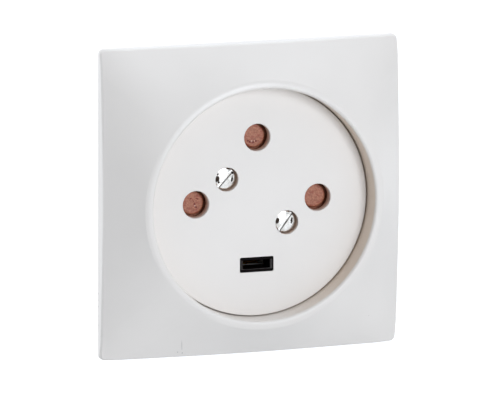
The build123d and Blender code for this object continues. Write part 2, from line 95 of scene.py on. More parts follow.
def addSpot(tree, place, centre, size, turn):
    # Soft-edged spot of the given half sizes: 1 inside it and 0 outside. The turn is about the depth
    spot = addNode(tree, "ShaderNodeMapping", {"vector_type": "TEXTURE"}, links={"Vector": place})
    spot.inputs["Location"].default_value = [value * mm for value in centre]
    spot.inputs["Rotation"].default_value = (0.0, turn, 0.0)
    spot.inputs["Scale"].default_value = [value * mm for value in size]
    reach = addNode(tree, "ShaderNodeVectorMath", {"operation": "LENGTH"},
                    links={"Vector": spot.outputs["Vector"]})
    spotMask = addNode(tree, "ShaderNodeMapRange", {"interpolation_type": "SMOOTHSTEP"},
                       {"From Min": 1.0, "From Max": spotCore}, {"Value": reach.outputs["Value"]})
    return spotMask.outputs["Result"]


def addRagged(tree, place, noise, wander):
    # Coordinates moved about by a noise, so that spots on them get a ragged edge
    moved = addNode(tree, "ShaderNodeVectorMath", {"operation": "MULTIPLY_ADD"}, {1: (wander,) * 3},
                    {0: noise.outputs["Color"], 2: place})
    return addNode(tree, "ShaderNodeVectorMath", {"operation": "SUBTRACT"}, {1: (wander / 2,) * 3},
                   {0: moved.outputs["Vector"]}).outputs["Vector"]


def joinMasks(tree, masks):
    # One mask that is as high as the highest of them
    whole = masks[0]
    for mask in masks[1:]:
        join = addNode(tree, "ShaderNodeMath", {"operation": "MAXIMUM"}, links={0: whole, 1: mask})
        whole = join.outputs["Value"]
    return whole


# White urea moulding: pressed in a polished mould, so it is smooth, with a soft gloss, a slight
# orange peel and the odd dark speck of moulding powder. It is faintly warm, which shows where
# light bounces between two walls
ureaMoulding = {
    "colour": "#F0E9E2",
    "shade": "#ECE5DE",
    "roughness": 0.34,
    "ior": 1.5,
    "cloudSize": 30 * mm,
    "peelSize": 1.6 * mm,
    "peelDepth": 0.02 * mm,
    "peelStrength": 0.06,
    "speckColour": "#8F877E",
    "speckSpacing": 9 * mm,
    "speckSize": 0.10 * mm,
    "speckStrength": 0.5,
    # painted shade: the wall of the collar's recess, below the lip, is painted a darker warm tone, strongest
    # on its right
    "wallPaintedShade": {
        "colour": "#E2D0BE",
        "reach": (30.4 * mm, 30.1 * mm),
        "height": (13.7 * mm, 12.9 * mm),
        "side": (4 * mm, 22 * mm),
    },
    # painted shade: the pin holes' walls and the counterbores are painted a darker brownish tone. Here and
    # below, spots have a centre and half sizes in mm, and a turn in radians
    "holePaintedShades": [
        ((0.0, -5.1, 16.4), (6.0, 2.6, 6.0), 0.0),
        ((16.4, -5.1, 0.0), (6.0, 2.6, 6.0), 0.0),
        ((-16.4, -5.1, 0.0), (6.0, 2.6, 6.0), 0.0),
        ((-8.1, -6.0, 6.0), (5.2, 1.7, 5.2), 0.0),
        ((8.1, -6.0, -6.0), (5.2, 1.7, 5.2), 0.0),
    ],
    "holePaintedShadeColour": "#D2B29E",
    # hairline scuff and dots low on the left of the plate, and chips along its left back edge
    "scuffs": [
        ((-19.95, -5.0, -35.7), (0.07, 4.0, 2.6), -0.28),
        ((-20.25, -5.0, -38.4), (0.16, 4.0, 0.14), 0.0),
        ((-18.95, -5.0, -38.75), (0.20, 4.0, 0.16), 0.0),
        ((-19.45, -5.0, -37.4), (0.12, 4.0, 0.10), 0.0),
        ((-40.0, 0.0, -22.9), (0.3, 0.45, 0.22), 0.0),
        ((-40.0, 0.0, -24.6), (0.3, 0.35, 0.30), 0.0),
        ((-40.0, 0.0, -26.2), (0.3, 0.5, 0.18), 0.0),
        ((-40.0, 0.0, -28.7), (0.3, 0.4, 0.26), 0.0),
        ((-40.0, 0.0, -31.0), (0.3, 0.45, 0.20), 0.0),
    ],
    "scuffColour": "#7E7871",
    "scuffStrength": 0.75,
}


def addWallPaintedShade(tree, place):
    # Painted shade mask: 1 on the right of the recess wall and 0 on the rest of the plate
    wallShadeSettings = ureaMoulding["wallPaintedShade"]
    across = addNode(tree, "ShaderNodeVectorMath", {"operation": "MULTIPLY"}, {1: (1.0, 0.0, 1.0)},
                     {0: place})
    reach = addNode(tree, "ShaderNodeVectorMath", {"operation": "LENGTH"},
                    links={"Vector": across.outputs["Vector"]})
    inside = addNode(tree, "ShaderNodeMapRange",
                     inputs={"From Min": wallShadeSettings["reach"][0], "From Max": wallShadeSettings["reach"][1]},
                     links={"Value": reach.outputs["Value"]})
    parts = addNode(tree, "ShaderNodeSeparateXYZ", links={"Vector": place})
    deep = addNode(tree, "ShaderNodeMapRange",
                   inputs={"From Min": -wallShadeSettings["height"][0], "From Max": -wallShadeSettings["height"][1]},
                   links={"Value": parts.outputs["Y"]})
    side = addNode(tree, "ShaderNodeMapRange",
                   inputs={"From Min": wallShadeSettings["side"][0], "From Max": wallShadeSettings["side"][1]},
                   links={"Value": parts.outputs["X"]})
    wall = addNode(tree, "ShaderNodeMath", {"operation": "MULTIPLY"},
                   links={0: inside.outputs["Result"], 1: deep.outputs["Result"]})
    return addNode(tree, "ShaderNodeMath", {"operation": "MULTIPLY"},
                   links={0: wall.outputs["Value"], 1: side.outputs["Result"]}).outputs["Value"]


def addPlateShadeAndWear(tree, place, colour):
    # The plate's painted wall shade, scuffs and chips
    settings = ureaMoulding
    colour = addNode(tree, "ShaderNodeMix", {"data_type": "RGBA"},
                     {7: linearColour(settings["wallPaintedShade"]["colour"])},
                     {0: addWallPaintedShade(tree, place), 6: colour}).outputs[2]
    spots = joinMasks(tree, [addSpot(tree, place, *spot) for spot in settings["scuffs"]])
    faint = addNode(tree, "ShaderNodeMath", {"operation": "MULTIPLY"},
                    {1: settings["scuffStrength"]}, {0: spots})
    return addNode(tree, "ShaderNodeMix", {"data_type": "RGBA"}, {7: linearColour(settings["scuffColour"])},
                   {0: faint.outputs["Value"], 6: colour}).outputs[2]


def addCoverHoleShade(tree, place, colour):
    # Painted shade in the centre cover's pin holes and counterbores
    settings = ureaMoulding
    holes = joinMasks(tree, [addSpot(tree, place, *spot) for spot in settings["holePaintedShades"]])
    return addNode(tree, "ShaderNodeMix", {"data_type": "RGBA"},
                   {7: linearColour(settings["holePaintedShadeColour"])}, {0: holes, 6: colour}).outputs[2]


def makeUrea(name, addShadeAndWear):
    settings = ureaMoulding
    surface = {"Roughness": settings["roughness"], "IOR": settings["ior"]}
    material, tree, shader, place = newMaterial(name, surface)
    cloud = addNode(tree, "ShaderNodeTexNoise", inputs={"Scale": 1 / settings["cloudSize"], "Detail": 2.0},
                    links={"Vector": place})
    tone = addNode(tree, "ShaderNodeValToRGB", links={"Fac": cloud.outputs["Fac"]},
                   stops=[(0.35, settings["shade"]), (0.65, settings["colour"])])
    cells = addNode(tree, "ShaderNodeTexVoronoi", inputs={"Scale": 1 / settings["speckSpacing"]},
                    links={"Vector": place})
    reach = settings["speckSize"] / settings["speckSpacing"]
    speck = addNode(tree, "ShaderNodeMapRange", inputs={
        "From Min": 1.6 * reach,
        "From Max": 0.6 * reach,
        "To Max": settings["speckStrength"],
    }, links={"Value": cells.outputs["Distance"]})
    colour = addNode(tree, "ShaderNodeMix", {"data_type": "RGBA"}, {7: linearColour(settings["speckColour"])},
                     {0: speck.outputs["Result"], 6: tone.outputs["Color"]}).outputs[2]
    peel = addNode(tree, "ShaderNodeTexNoise", inputs={"Scale": 1 / settings["peelSize"], "Detail": 1.0},
                   links={"Vector": place})
    bump = addNode(tree, "ShaderNodeBump",
                   inputs={"Strength": settings["peelStrength"], "Distance": settings["peelDepth"]},
                   links={"Height": peel.outputs["Fac"]})
    tree.links.new(addShadeAndWear(tree, place, colour), shader.inputs["Base Color"])
    tree.links.new(bump.outputs["Normal"], shader.inputs["Normal"])
    return material


# Brown phenolic of the shutter: pressed from a filled powder, so its skin is grainy and matt, with
# reddish resin flow
phenolic = {
    "colour": "#BC7A5A",
    "shade": "#9A5940",
    "redColour": "#9A3A26",
    # the dark red of the marks' dents is painted shade
    "groovePaintedShadeColour": "#741C10",
    "roughness": 0.45,
    "ior": 1.55,
    "grain": 0.45 * mm,
    "grainDepth": 0.03 * mm,
    "flow": 1.5 * mm,
    "flowStretch": (1.0, 1.0, 2.2),
    "redRange": (0.51, 0.66),
    "redStrength": 0.7,
    # rough marks on the lobes: dents whose dark colour is painted shade, with ragged edges that wander by
    # this much
    "markWander": 0.4 * mm,
    "markDepth": 0.06 * mm,
    "marks": [
        ((-0.9, -4.7, 14.8), (0.46, 0.6, 0.32), 0.0),
        ((-0.1, -4.7, 14.65), (0.44, 0.6, 0.28), 0.0),
        ((0.6, -4.7, 15.0), (0.42, 0.6, 0.24), 0.7),
        ((-1.5, -4.7, 15.15), (0.34, 0.6, 0.30), 0.0),
        ((-16.74, -4.7, 1.09), (0.44, 0.6, 0.18), -0.4),
        ((-15.0, -4.7, 0.95), (0.55, 0.6, 0.17), 0.2),
        ((-15.75, -4.7, -0.35), (0.30, 0.6, 0.38), 0.0),
        ((-15.35, -4.7, -1.25), (0.40, 0.6, 0.32), 0.3),
        ((-16.1, -4.7, 0.25), (0.12, 0.6, 0.25), 0.2),
        ((16.2, -4.7, -3.15), (0.9, 0.6, 0.14), -0.1),
    ],
    # the two pips stand proud, and their pale tops are a painted highlight
    "pips": [
        ((-0.5, -4.7, 15.0), (0.32, 0.6, 0.27), 0.0),
        ((0.28, -4.7, 15.05), (0.28, 0.6, 0.24), 0.0),
        ((-15.7, -4.7, -0.85), (0.26, 0.6, 0.20), 0.0),
    ],
    "pipPaintedHighlightColour": "#DDB0A0",
}


def makePhenolic():
    settings = phenolic
    surface = {"Roughness": settings["roughness"], "IOR": settings["ior"]}
    material, tree, shader, place = newMaterial("brownPhenolicShutter", surface)
    grain = addNode(tree, "ShaderNodeTexNoise",
                    inputs={"Scale": 1 / settings["grain"], "Detail": 4.0, "Roughness": 0.65},
                    links={"Vector": place})
    tone = addNode(tree, "ShaderNodeValToRGB", links={"Fac": grain.outputs["Fac"]},
                   stops=[(0.36, settings["shade"]), (0.62, settings["colour"])])
    stretch = addNode(tree, "ShaderNodeMapping", links={"Vector": place})
    stretch.inputs["Scale"].default_value = settings["flowStretch"]
    flow = addNode(tree, "ShaderNodeTexNoise",
                   inputs={"Scale": 1 / settings["flow"], "Detail": 3.0, "Distortion": 1.2},
                   links={"Vector": stretch.outputs["Vector"]})
    red = addNode(tree, "ShaderNodeMapRange", inputs={
        "From Min": settings["redRange"][0],
        "From Max": settings["redRange"][1],
        "To Max": settings["redStrength"],
    }, links={"Value": flow.outputs["Fac"]})
    colour = addNode(tree, "ShaderNodeMix", {"data_type": "RGBA"}, {7: linearColour(settings["redColour"])},
                     {0: red.outputs["Result"], 6: tone.outputs["Color"]}).outputs[2]
    ragged = addRagged(tree, place, grain, settings["markWander"])
    marks = joinMasks(tree, [addSpot(tree, ragged, *spot) for spot in settings["marks"]])
    pips = joinMasks(tree, [addSpot(tree, ragged, *spot) for spot in settings["pips"]])
    colour = addNode(tree, "ShaderNodeMix", {"data_type": "RGBA"},
                     {7: linearColour(settings["groovePaintedShadeColour"])}, {0: marks, 6: colour}).outputs[2]
    colour = addNode(tree, "ShaderNodeMix", {"data_type": "RGBA"}, {7: linearColour(settings["pipPaintedHighlightColour"])},
                     {0: pips, 6: colour}).outputs[2]
    grainBump = addNode(tree, "ShaderNodeBump", inputs={"Strength": 0.5, "Distance": settings["grainDepth"]},
                        links={"Height": grain.outputs["Fac"]})
    relief = addNode(tree, "ShaderNodeMath", {"operation": "SUBTRACT"}, links={0: pips, 1: marks})
    bump = addNode(tree, "ShaderNodeBump", inputs={"Strength": 1.0, "Distance": settings["markDepth"]},
                   links={"Height": relief.outputs["Value"], "Normal": grainBump.outputs["Normal"]})
    tree.links.new(colour, shader.inputs["Base Color"])
    tree.links.new(bump.outputs["Normal"], shader.inputs["Normal"])
    return material


# Polyamide mouldings: matt from a spark-eroded mould. The grey of the shroud's bevel is a painted highlight.
# The grain is drawn coarser than the real one, so that it shows
plainMouldings = {
    "blackPolyamideShroud": {
        "colour": "#0B0504", "shade": "#060202", "roughness": 0.5, "gloss": 0.05, "grain": 0.4 * mm,
    },
    "paintedHighlightShroudEdge": {
        "colour": "#4A4543", "shade": "#1C1715", "roughness": 0.4, "gloss": 0.4, "grain": 0.9 * mm,
    },
    "greyPolyamideBase": {
        "colour": "#BDBCB8", "shade": "#B0AFAB", "roughness": 0.55, "gloss": 0.5, "grain": 0.8 * mm,
    },
}


def makeMoulding(name):
    settings = plainMouldings[name]
    surface = {"Roughness": settings["roughness"], "IOR": 1.5, "Specular IOR Level": settings["gloss"]}
    material, tree, shader, place = newMaterial(name, surface)
    grain = addNode(tree, "ShaderNodeTexNoise", inputs={"Scale": 1 / settings["grain"], "Detail": 3.0},
                    links={"Vector": place})
    tone = addNode(tree, "ShaderNodeValToRGB", links={"Fac": grain.outputs["Fac"]},
                   stops=[(0.3, settings["shade"]), (0.7, settings["colour"])])
    bump = addNode(tree, "ShaderNodeBump", inputs={"Strength": 0.2, "Distance": 0.02 * mm},
                   links={"Height": grain.outputs["Fac"]})
    tree.links.new(tone.outputs["Color"], shader.inputs["Base Color"])
    tree.links.new(bump.outputs["Normal"], shader.inputs["Normal"])
    return material


# Nickel-plated screws: barrelled before plating, so the heads are bright and slightly wavy. Dark spots at
# their rims are a painted reflection of the dark room, and are rougher
nickelPlating = {
    "colour": "#F3EFE9",
    "shade": "#D8D2CA",
    "paintedReflectionColour": "#332A25",
    "roughness": 0.16,
    "waveSize": 1.3 * mm,
    "waveDepth": 0.035 * mm,
    # painted dark reflections on the two cover screws, whose ragged edge has this grain and wander
    "reflectionSpotGrain": 0.5 * mm,
    "reflectionSpotWander": 0.6 * mm,
    "reflectionSpotRoughness": 0.45,
    "paintedReflectionSpots": [
        ((-10.3, -6.45, 6.05), (0.80, 1.2, 1.1), 0.15),
        ((-9.8, -6.45, 5.15), (0.48, 1.2, 0.32), 0.8),
        ((-10.1, -6.45, 7.3), (0.32, 1.2, 0.36), -0.5),
        ((-6.32, -6.45, 5.85), (0.38, 1.2, 1.1), 0.15),
        ((-6.15, -6.45, 7.45), (0.36, 1.2, 0.6), -0.6),
        ((-7.5, -6.45, 8.5), (0.50, 1.2, 0.16), 0.2),
        ((5.9, -6.45, -5.6), (0.78, 1.2, 1.05), 0.2),
        ((6.5, -6.45, -3.9), (0.34, 1.2, 0.14), -0.6),
        ((9.85, -6.45, -5.8), (0.36, 1.2, 1.05), 0.1),
        ((9.9, -6.45, -4.2), (0.22, 1.2, 0.3), -0.6),
        ((6.3, -6.45, -7.9), (0.4, 1.2, 0.14), 0.7),
    ],
}


def makeNickel():
    settings = nickelPlating
    material, tree, shader, place = newMaterial("nickelPlatedSteel", {"Metallic": 1.0})
    wave = addNode(tree, "ShaderNodeTexNoise", inputs={"Scale": 1 / settings["waveSize"], "Detail": 2.0},
                   links={"Vector": place})
    tone = addNode(tree, "ShaderNodeValToRGB", links={"Fac": wave.outputs["Fac"]},
                   stops=[(0.35, settings["shade"]), (0.6, settings["colour"])])
    edge = addNode(tree, "ShaderNodeTexNoise", inputs={"Scale": 1 / settings["reflectionSpotGrain"], "Detail": 2.0},
                   links={"Vector": place})
    ragged = addRagged(tree, place, edge, settings["reflectionSpotWander"])
    spots = joinMasks(tree, [addSpot(tree, ragged, *spot) for spot in settings["paintedReflectionSpots"]])
    colour = addNode(tree, "ShaderNodeMix", {"data_type": "RGBA"},
                     {7: linearColour(settings["paintedReflectionColour"])},
                     {0: spots, 6: tone.outputs["Color"]}).outputs[2]
    spread = addNode(tree, "ShaderNodeMapRange",
                     inputs={"To Min": settings["roughness"], "To Max": settings["reflectionSpotRoughness"]},
                     links={"Value": spots})
    bump = addNode(tree, "ShaderNodeBump", inputs={"Strength": 1.0, "Distance": settings["waveDepth"]},
                   links={"Height": wave.outputs["Fac"]})
    tree.links.new(colour, shader.inputs["Base Color"])
    tree.links.new(spread.outputs["Result"], shader.inputs["Roughness"])
    tree.links.new(bump.outputs["Normal"], shader.inputs["Normal"])
    return material


# Other metals: colour, roughness and the size of the marks that zinc plating, rolling and turning
# leave. The marks are drawn coarser than the real ones, so that they show
metals = {
    "zincPlatedSteel": {"colour": "#C6C9CC", "shade": "#B7BABD", "roughness": 0.38, "mark": 2.5 * mm},
    "springSteelStrip": {"colour": "#B4B5B7", "shade": "#97989B", "roughness": 0.3, "mark": 0.8 * mm},
    "turnedBrass": {"colour": "#D9B46A", "shade": "#C49C52", "roughness": 0.28, "mark": 0.7 * mm},
}


def makeMetal(name):
    settings = metals[name]
    material, tree, shader, place = newMaterial(name, {"Metallic": 1.0})
    marks = addNode(tree, "ShaderNodeTexNoise", inputs={"Scale": 1 / settings["mark"], "Detail": 4.0},
                    links={"Vector": place})
    tone = addNode(tree, "ShaderNodeValToRGB", links={"Fac": marks.outputs["Fac"]},
                   stops=[(0.3, settings["shade"]), (0.7, settings["colour"])])
    spread = addNode(tree, "ShaderNodeMapRange",
                     inputs={"To Min": settings["roughness"] * 0.8, "To Max": settings["roughness"] * 1.3},
                     links={"Value": marks.outputs["Fac"]})
    tree.links.new(tone.outputs["Color"], shader.inputs["Base Color"])
    tree.links.new(spread.outputs["Result"], shader.inputs["Roughness"])
    return material


materials = {
    "whiteUreaCover": makeUrea("whiteUreaCover", addCoverHoleShade),
    "whiteUreaPlate": makeUrea("whiteUreaPlate", addPlateShadeAndWear),
    "brownPhenolicShutter": makePhenolic(),
    "nickelPlatedSteel": makeNickel(),
}
materials.update({name: makeMoulding(name) for name in plainMouldings})
materials.update({name: makeMetal(name) for name in metals})
slotMaterials = {
    "white_moulding": "whiteUreaCover",
    "black_moulding": "blackPolyamideShroud",
    "brown_moulding": "brownPhenolicShutter",
    "grey_moulding": "greyPolyamideBase",
    "contact_brass": "turnedBrass",
    "spring_steel": "springSteelStrip",
    "nickel_plated_steel": "nickelPlatedSteel",
    "zinc_plated_steel": "zincPlatedSteel",
}
nodeMaterials = {"cover_plate": "whiteUreaPlate"}
for part in frame["record"]["subparts"]:
    node = frame["nodes"][part["node"]]
    node.data.materials.clear()
    finish = nodeMaterials.get(part["node"], slotMaterials[part["material_slot"]])
    node.data.materials.append(materials[finish])
print("materials made")


def addPiece(name, bm, body, pieceMaterials, replaced):
    # A finished mesh at the origin that stands for the CAD nodes named in replaced. Its edges are
    # sharp where they turn enough, and where a face that is flat to the front meets one that isn't
    bmesh.ops.recalc_face_normals(bm, faces=bm.faces)
    bm.normal_update()
    for face in bm.faces:
        face.smooth = True
    for edge in bm.edges:
        flat = sum(abs(face.normal.y) > 0.99995 for face in edge.link_faces)
        turn = edge.calc_face_angle(math.pi)
        edge.smooth = turn < math.radians(28) and flat != 1
    mesh = bpy.data.meshes.new(name)
    bm.to_mesh(mesh)
    bm.free()
    piece = bpy.data.objects.new(name, mesh)
    bpy.context.scene.collection.objects.link(piece)
    for material in pieceMaterials:
        mesh.materials.append(materials[material])
    if body:
        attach(piece, body)
    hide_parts(*replaced)
    return piece


def spinProfile(bm, profile, centre, segments):
    # A run of (radius, height) points, turned about the depth line through centre
    x, z = centre
    verts = [bm.verts.new((x + radius, -height, z)) for radius, height in profile]
    edges = [bm.edges.new(ends) for ends in zip(verts, verts[1:])]
    bmesh.ops.spin(bm, geom=verts + edges, cent=(x, 0.0, z), axis=(0, -1, 0), angle=2 * math.pi,
                   steps=segments, use_merge=True)
    bmesh.ops.remove_doubles(bm, verts=bm.verts, dist=0.001 * mm)


def cutAway(bm, cutter):
    # The first mesh less the second one; both are used up
    blanks = []
    for form in (bm, cutter):
        bmesh.ops.recalc_face_normals(form, faces=form.faces)
        blank = bpy.data.objects.new("blank", bpy.data.meshes.new("blank"))
        form.to_mesh(blank.data)
        form.free()
        bpy.context.scene.collection.objects.link(blank)
        blanks.append(blank)
    cut = blanks[0].modifiers.new("cut", "BOOLEAN")
    cut.operation = "DIFFERENCE"
    cut.solver = "EXACT"
    cut.object = blanks[1]
    result = bmesh.new()
    result.from_object(blanks[0], bpy.context.evaluated_depsgraph_get())
    for blank in blanks:
        bpy.data.objects.remove(blank)
    return result


# Cover screws: the head is slightly domed with a soft edge, its slot is shallow, and the shank has
# its thread. Heights are in front of the wall
coverScrew = {
    "places": {"upper": (-8.1 * mm, 6.0 * mm, 46.6), "lower": (8.1 * mm, -6.0 * mm, 53.4)},
    "headRadius": 2.8 * mm,
    "edgeRound": 0.3 * mm,
    "edgeRows": 5,
    "domeRise": 0.12 * mm,
    "domeRows": 8,
    "backChamfer": 0.05 * mm,
    "front": 6.45 * mm,
    "seat": 4.7 * mm,
    "tip": -6.3 * mm,
    "tipChamfer": 0.3 * mm,
    "shankRadius": 1.45 * mm,
    "threadDepth": 0.27 * mm,
    "threadPitch": 0.5 * mm,
    "threadRows": 6,
    "threadStart": 4.0 * mm,
    "threadEnd": -5.3 * mm,
    "slotLength": 8 * mm,
    "slotWidth": 0.85 * mm,
    "slotDepth": 0.5 * mm,
    "segments": 48,
}


def screwProfile():
    # Half of the screw from the middle of its head to its tip, with the shank at the thread's root
    s = coverScrew
    flatRadius, edgeTop = s["headRadius"] - s["edgeRound"], s["front"] - s["domeRise"]
    root = s["shankRadius"] - s["threadDepth"]
    points = []
    for i in range(s["domeRows"] + 1):
        share = i / s["domeRows"]
        points.append((flatRadius * share, s["front"] - s["domeRise"] * share ** 2))
    for i in range(1, s["edgeRows"] + 1):
        angle = math.radians(90) * i / s["edgeRows"]
        points.append((flatRadius + s["edgeRound"] * math.sin(angle),
                       edgeTop - s["edgeRound"] * (1 - math.cos(angle))))
    points.append((s["headRadius"], s["seat"] + s["backChamfer"]))
    points.append((s["headRadius"] - s["backChamfer"], s["seat"]))
    points.append((root, s["seat"]))
    height = s["threadStart"]
    while height > s["threadEnd"]:
        points.append((root, height))
        height -= s["threadPitch"] / s["threadRows"]
    points.append((root, s["tip"] + s["tipChamfer"]))
    points.append((root - s["tipChamfer"], s["tip"]))
    points.append((0.0, s["tip"]))
    return points


def cutThread(bm, x, z):
    # The shank's rows are pushed out from the root, by how far along the thread they are
    s = coverScrew
    firstRow = s["threadStart"] - 0.5 * s["threadPitch"] / s["threadRows"]
    for vert in bm.verts:
        height = -vert.co.y
        if s["threadEnd"] < height < firstRow:
            out = Vector((vert.co.x - x, 0.0, vert.co.z - z))
            turn = math.atan2(out.z, out.x) / (2 * math.pi)
            wave = (height / s["threadPitch"] + turn) % 1.0
            vert.co += out.normalized() * s["threadDepth"] * (1 - abs(2 * wave - 1))


def makeCoverScrew(name):
    s = coverScrew
    x, z, slotAngle = s["places"][name]
    bm = bmesh.new()
    spinProfile(bm, screwProfile(), (x, z), s["segments"])
    cutThread(bm, x, z)
    slot = bmesh.new()
    bmesh.ops.create_cube(slot, size=1.0)
    bmesh.ops.scale(slot, vec=(s["slotLength"], 2 * s["slotDepth"], s["slotWidth"]), verts=slot.verts)
    turn = Matrix.Rotation(-math.radians(slotAngle), 3, "Y")
    bmesh.ops.rotate(slot, cent=(0, 0, 0), matrix=turn, verts=slot.verts)
    bmesh.ops.translate(slot, vec=(x, -s["front"], z), verts=slot.verts)
    bm = cutAway(bm, slot)
    addPiece("coverScrew" + name.capitalize(), bm, "socket", ["nickelPlatedSteel"],
             ["cover_screw_" + name])


for name in coverScrew["places"]:
    makeCoverScrew(name)
print("cover screws made")


# Earth shroud: its opening is bevelled, widest at the two ends, and the bevel, except along its top, is
# painted grey as highlight lines in the black
earthShroud = {
    "centre": (0.0, -16.4 * mm),
    "outer": (4.5 * mm, 1.9 * mm),
    "inner": (3.7 * mm, 1.1 * mm),
    "innerFront": (4.15 * mm, 1.24 * mm),
    "flange": 0.8 * mm,
    "flangeHeights": (4.4 * mm, 5.2 * mm),
    "back": 2.2 * mm,
    "front": 7.6 * mm,
    "outerBevel": 0.10 * mm,
    "innerBevel": 0.25 * mm,
    "outerCorner": 0.4 * mm,
    "innerCorner": 0.12 * mm,
    "cornerSegments": 4,
}


def makeEarthShroud():
    s = earthShroud
    bm = bmesh.new()

    def outline(sizes, grow, corner, height):
        # The edges of a rounded rectangle that is seen from the front, from half sizes and a growth
        plate = bmesh.ops.create_grid(bm, x_segments=1, y_segments=1, size=1.0)["verts"]
        bmesh.ops.scale(bm, vec=(sizes[0] + grow, sizes[1] + grow, 1.0), verts=plate)
        bmesh.ops.rotate(bm, cent=(0, 0, 0), matrix=Matrix.Rotation(math.radians(90), 3, "X"), verts=plate)
        bmesh.ops.translate(bm, vec=(s["centre"][0], -height, s["centre"][1]), verts=plate)
        bmesh.ops.bevel(bm, geom=plate, offset=corner + grow, segments=s["cornerSegments"],
                        profile=0.5, affect="VERTICES", material=-1)
        sheet = list(bm.faces)
        edges = list(sheet[0].edges)
        bmesh.ops.delete(bm, geom=sheet, context="FACES_ONLY")
        return edges

    flangeBack, flangeFront = s["flangeHeights"]
    outlines = [
        outline(s["outer"], 0.0, s["outerCorner"], s["back"]),
        outline(s["outer"], 0.0, s["outerCorner"], flangeBack),
        outline(s["outer"], s["flange"], s["outerCorner"], flangeBack),
        outline(s["outer"], s["flange"], s["outerCorner"], flangeFront),
        outline(s["outer"], 0.0, s["outerCorner"], flangeFront),
        outline(s["outer"], 0.0, s["outerCorner"], s["front"] - s["outerBevel"]),
        outline(s["outer"], -s["outerBevel"], s["outerCorner"], s["front"]),
        outline(s["innerFront"], 0.0, s["innerCorner"], s["front"]),
        outline(s["inner"], 0.0, s["innerCorner"], s["front"] - s["innerBevel"]),
        outline(s["inner"], 0.0, s["innerCorner"], s["back"]),
    ]
    # Bridged at a thousand times the size, because the operator can twist loops as small as these
    bmesh.ops.scale(bm, vec=(1 / mm, 1 / mm, 1 / mm), verts=bm.verts)
    for low, high in zip(outlines, outlines[1:] + outlines[:1]):
        bmesh.ops.bridge_loops(bm, edges=low + high)
    bmesh.ops.scale(bm, vec=(mm, mm, mm), verts=bm.verts)
    # the bevel's faces, except those along its top, get the grey painted highlight
    bevelHeights = {round(s["front"] / mm, 3), round((s["front"] - s["innerBevel"]) / mm, 3)}
    for face in bm.faces:
        onBevel = {round(-vert.co.y / mm, 3) for vert in face.verts} == bevelHeights
        onTop = min(vert.co.z for vert in face.verts) > s["centre"][1] + s["inner"][1] - 0.01 * mm
        face.material_index = 1 if onBevel and not onTop else 0
    addPiece("earthShroudMoulding", bm, "socket",
             ["blackPolyamideShroud", "paintedHighlightShroudEdge"], ["earth_shroud"])


makeEarthShroud()
print("earth shroud made")


# Shutter: each lobe has a round pad with a soft edge, a little smaller than its pin hole, so a
# dark gap shows beside it. A ring-shaped cut round each pad shapes it
shutterPads = {
    "centres": [(0.0, 16.4 * mm), (16.4 * mm, 0.0), (-16.4 * mm, 0.0)],
    "radius": 3.2 * mm,
    "cutReach": 4.7 * mm,
    "cutAbove": 1 * mm,
    "front": 4.7 * mm,
    "depth": 1.3 * mm,
    "edgeRound": 0.6 * mm,
    "edgeRows": 9,
    "segments": 48,
}


def padCutProfile():
    # Section of the ring-shaped cut, from its outer top round to the same point
    s = shutterPads
    flatRadius, above = s["radius"] - s["edgeRound"], s["front"] + s["cutAbove"]
    points = [(s["cutReach"], above), (s["cutReach"], s["front"] - s["depth"]),
              (s["radius"], s["front"] - s["depth"])]
    for i in range(s["edgeRows"], 0, -1):
        angle = math.radians(90) * i / s["edgeRows"]
        points.append((flatRadius + s["edgeRound"] * math.sin(angle),
                       s["front"] - s["edgeRound"] * (1 - math.cos(angle))))
    points.append((points[-1][0], above))
    points.append(points[0])
    return points


def makeShutter():
    s = shutterPads
    bm = bmesh.new()
    bm.from_mesh(frame["nodes"]["shutter"].data)
    bmesh.ops.remove_doubles(bm, verts=bm.verts, dist=0.001 * mm)
    rings = bmesh.new()
    for centre in s["centres"]:
        spinProfile(rings, padCutProfile(), centre, s["segments"])
    bm = cutAway(bm, rings)
    addPiece("shutterMoulding", bm, "shutter", ["brownPhenolicShutter"], ["shutter"])


makeShutter()
print("shutter made")


def makeSpring():
    bm = bmesh.new()
    bm.from_mesh(frame["nodes"]["shutter_spring"].data)
    bmesh.ops.remove_doubles(bm, verts=bm.verts, dist=0.001 * mm)
    piece = addPiece("shutterSpringCoil", bm, None, ["springSteelStrip"], ["shutter_spring"])
    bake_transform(piece)


makeSpring()
print("shutter spring made")


# Centre cover: the real edge is crisper than the modelled round, so a copy has it drawn tighter
coverEdge = {"radius": 29.6 * mm, "front": 7.7 * mm, "modelledRound": 0.8 * mm, "round": 0.22 * mm}


def makeCentreCover():
    s = coverEdge
    bm = bmesh.new()
    bm.from_mesh(frame["nodes"]["centre_cover"].data)
    bmesh.ops.remove_doubles(bm, verts=bm.verts, dist=0.001 * mm)
    shrink = s["round"] / s["modelledRound"]
    inner, lower = s["radius"] - s["modelledRound"], s["front"] - s["modelledRound"]
    for vert in bm.verts:
        reach = math.hypot(vert.co.x, vert.co.z)
        height = -vert.co.y
        if reach > inner - 0.01 * mm and height > lower - 0.01 * mm:
            newReach = s["radius"] - (s["radius"] - reach) * shrink
            vert.co.x *= newReach / reach
            vert.co.z *= newReach / reach
            vert.co.y = -(s["front"] - (s["front"] - height) * shrink)
    addPiece("centreCoverMoulding", bm, "socket", ["whiteUreaCover"], ["centre_cover"])


makeCentreCover()
print("centre cover made")


# Camera at the photograph's angle: a long lens, seen from the left and a little above
cameraPlace = {
    "azimuth": -19.6,
    "elevation": 10.7,
    "roll": 0.24,
    "distance": 2.0,
    "focalPixels": 7849.0,
    "frameWidth": 500,
    "target": (0.84 * mm, 0.0, -1.16 * mm),
}


